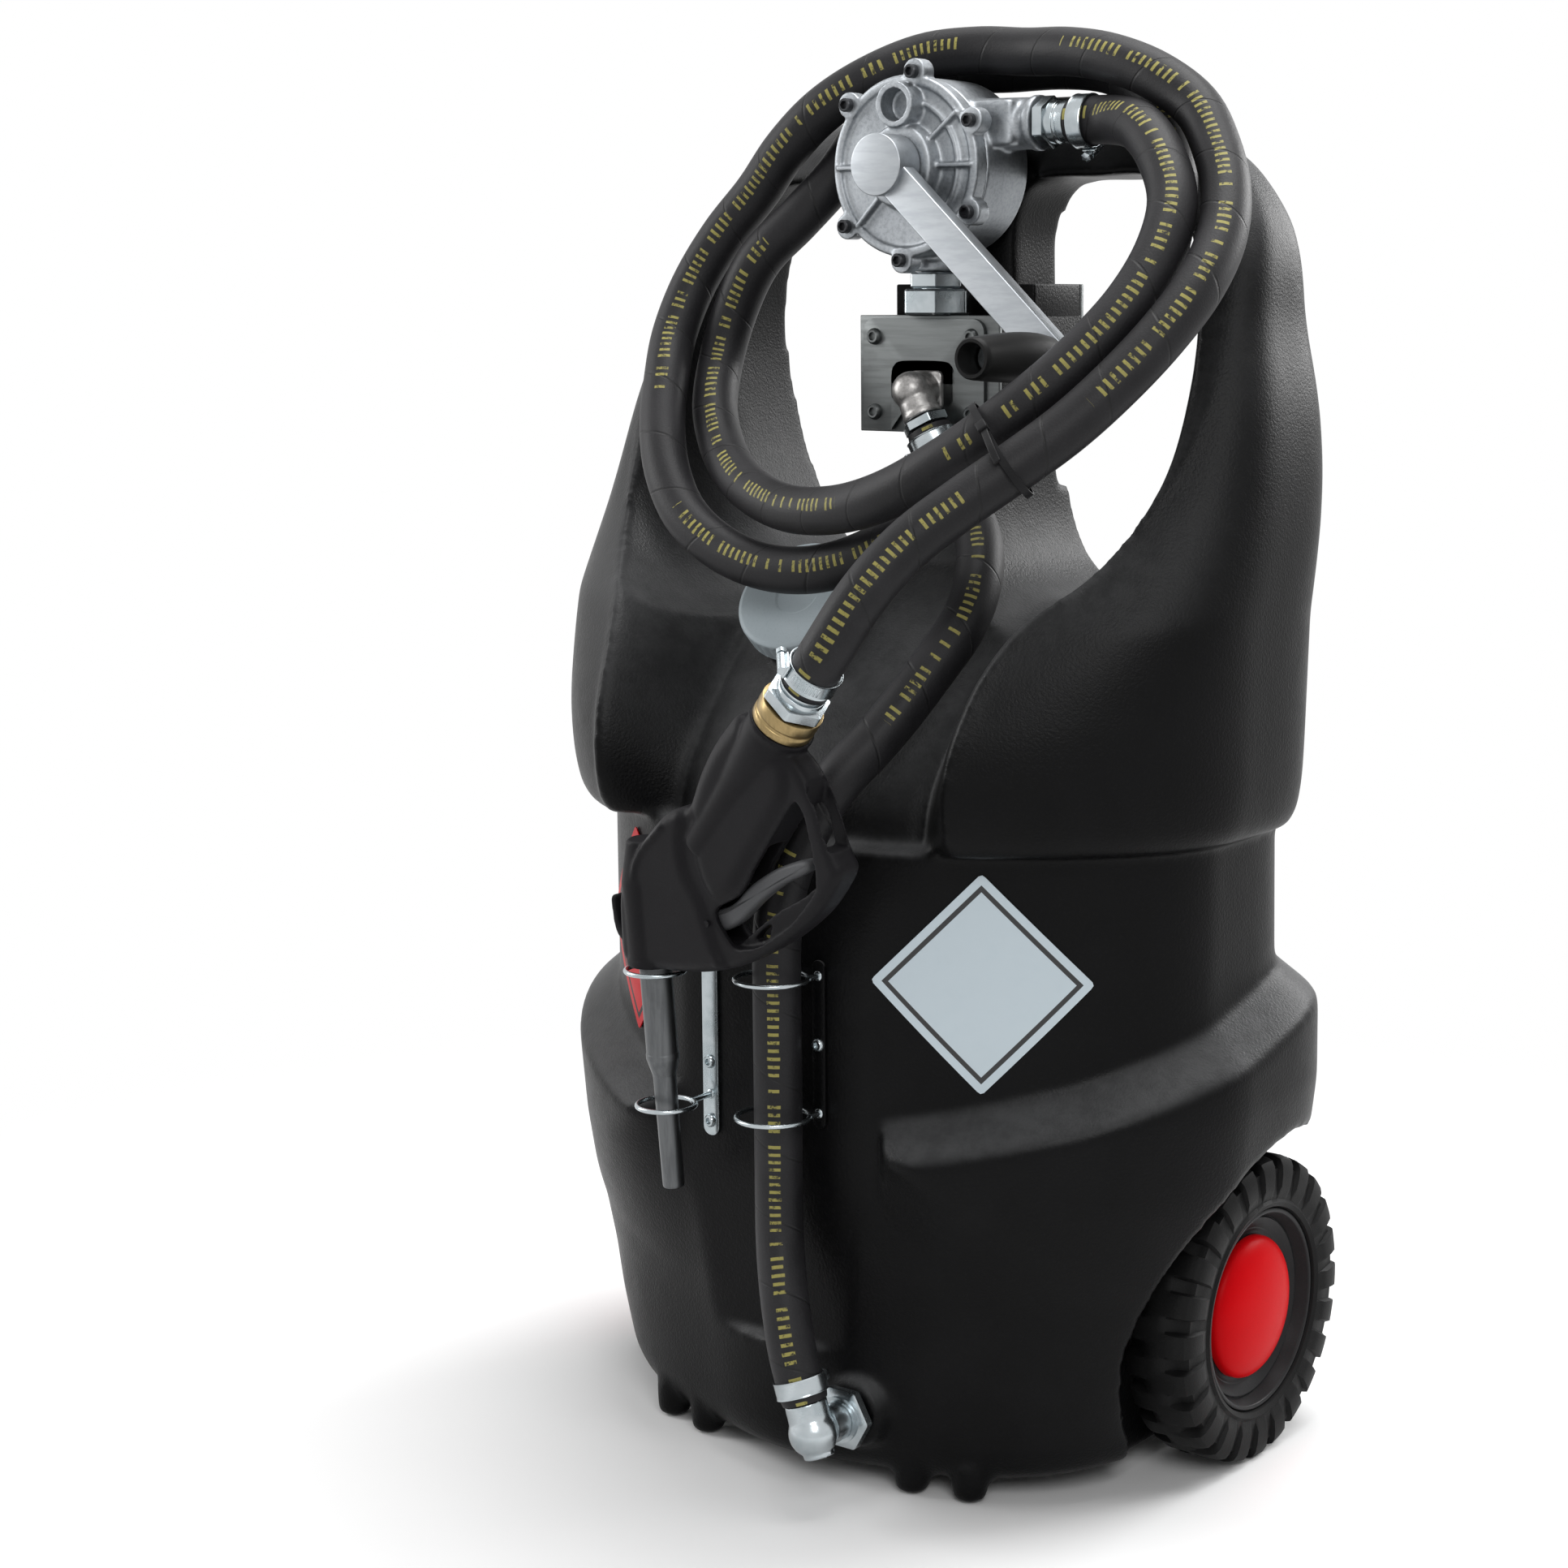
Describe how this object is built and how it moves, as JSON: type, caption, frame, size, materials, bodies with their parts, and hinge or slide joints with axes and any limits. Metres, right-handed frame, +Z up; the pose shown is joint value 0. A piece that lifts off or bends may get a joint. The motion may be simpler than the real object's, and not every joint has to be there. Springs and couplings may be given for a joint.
{
  "type": "fuel caddy",
  "caption": "Upright wheeled fuel tank with a pull-along arch handle, hand-cranked rotary pump, coiled delivery hose and trigger nozzle.",
  "frame": {"origin": "centre of the footprint's box, on the floor under the wheels and the front feet", "axes": "+Z up, -Y towards the front with the nozzle, +X towards the pump's outlet side"},
  "size_m": [0.5381, 0.415, 0.9447],
  "materials": {
    "tank": "textured near-black moulded polyethylene",
    "label_red": "printed film, red with a pale border",
    "label_blue": "printed film, pale blue-white with a thin black border",
    "steel": "turned steel",
    "zinc": "zinc plated steel",
    "bracket": "greenish-grey brushed plate",
    "rim": "moulded black wheel centre",
    "tyre": "black rubber tread",
    "hub_cap": "red domed cap",
    "pump": "light grey die-cast metal",
    "vane": "dark brown pump vanes",
    "rubber": "black seal",
    "brass": "turned bush",
    "arm": "satin aluminium",
    "grip": "black handgrip",
    "hose": "charcoal hose",
    "tie": "black strap",
    "nozzle": "charcoal coated casting",
    "ring": "tan-gold ring",
    "trigger": "very light lever",
    "cap": "pale blue-grey screw cap"
  },
  "bodies": {
    "tank": {"tank_body": "tank", "label_left": "label_red", "label_right": "label_blue", "axle": "steel", "axle_clip_left": "zinc", "axle_clip_right": "zinc", "axle_keeper_left": "zinc", "axle_keeper_right": "zinc", "wheel_spacer_left": "zinc", "wheel_spacer_right": "zinc", "bracket_back_plate": "bracket", "bracket_block": "tank", "bracket_front_plate": "bracket", "bracket_rear_plate": "bracket", "bracket_elbow": "zinc", "elbow_nut": "zinc", "inlet_nipple": "zinc", "inlet_nut_low": "zinc", "inlet_nut_top": "zinc", "pump_body": "pump", "pump_cover": "pump", "pump_gasket": "rubber", "shaft_bush": "brass", "outlet_fitting": "zinc", "delivery_hose": "hose", "suction_hose": "hose", "cable_tie": "tie", "hose_clamp_pump": "zinc", "hose_clamp_nozzle": "zinc", "hose_clamp_outlet": "zinc", "hose_clamp_bracket": "zinc", "nozzle_body": "nozzle", "nozzle_ring": "ring", "nozzle_adaptor": "zinc", "spout": "arm", "trigger_pin": "steel", "valve_spring": "steel", "nozzle_holder": "zinc", "hose_holder": "zinc", "outlet_nut": "zinc", "outlet_elbow": "zinc"},
    "wheel_left": {"tyre_left": "tyre", "rim_left": "rim", "hub_cap_left": "hub_cap"},
    "wheel_right": {"tyre_right": "tyre", "rim_right": "rim", "hub_cap_right": "hub_cap"},
    "crank": {"crank_arm": "arm", "pump_shaft": "steel", "pump_rotor": "steel", "pump_vane_1": "vane", "pump_vane_2": "vane", "pump_vane_3": "vane", "pump_vane_4": "vane", "grip_pin": "steel"},
    "grip": {"grip": "grip"},
    "trigger": {"trigger": "trigger"},
    "valve": {"valve_stem": "steel"},
    "cap_seal": {"cap_gasket": "rubber"},
    "cap": {"filler_cap": "cap"}
  },
  "joints": [
    {"name": "wheel_left_spin", "type": "hinge", "parent": "tank", "child": "wheel_left", "pos_m": [-0.221, 0.1045, 0.103], "axis": [1, 0, 0], "continuous": true},
    {"name": "wheel_right_spin", "type": "hinge", "parent": "tank", "child": "wheel_right", "pos_m": [0.221, 0.1045, 0.103], "axis": [1, 0, 0], "continuous": true},
    {"name": "crank_spin", "type": "hinge", "parent": "tank", "child": "crank", "pos_m": [0, 0.0395, 0.8525], "axis": [0, -1, 0], "continuous": true},
    {"name": "grip_spin", "type": "hinge", "parent": "crank", "child": "grip", "pos_m": [0.13313, 0.0062, 0.73136], "axis": [0, -1, 0], "continuous": true},
    {"name": "trigger_squeeze", "type": "hinge", "parent": "tank", "child": "trigger", "pos_m": [0.00322, -0.16247, 0.38533], "axis": [-0.0868, -0.9924, -0.0872], "range_deg": [0, 10], "stiffness_Nm_per_rad": 2, "springref_deg": -5.73},
    {"name": "valve_push", "type": "slide", "parent": "tank", "child": "valve", "axis": [-0.6426, -0.0111, 0.7661], "range_m": [0, 0.0062], "stiffness_N_per_m": 200, "springref_m": -0.002, "deforming": ["valve_spring"]},
    {"name": "cap_lift", "type": "slide", "parent": "tank", "child": "cap_seal", "axis": [0.0995, -0.751, 0.6528], "range_m": [0, 0.0121]},
    {"name": "cap_turn", "type": "hinge", "parent": "cap_seal", "child": "cap", "pos_m": [-0.04197, -0.02273, 0.5682], "axis": [0.0995, -0.751, 0.6528], "range_deg": [0, 1080]}
  ],
  "couplings": [
    {"joint": "valve_push", "follows": "trigger_squeeze", "m_per_rad": 0.0345},
    {"joint": "cap_lift", "follows": "cap_turn", "m_per_rad": 0.0006366}
  ]
}
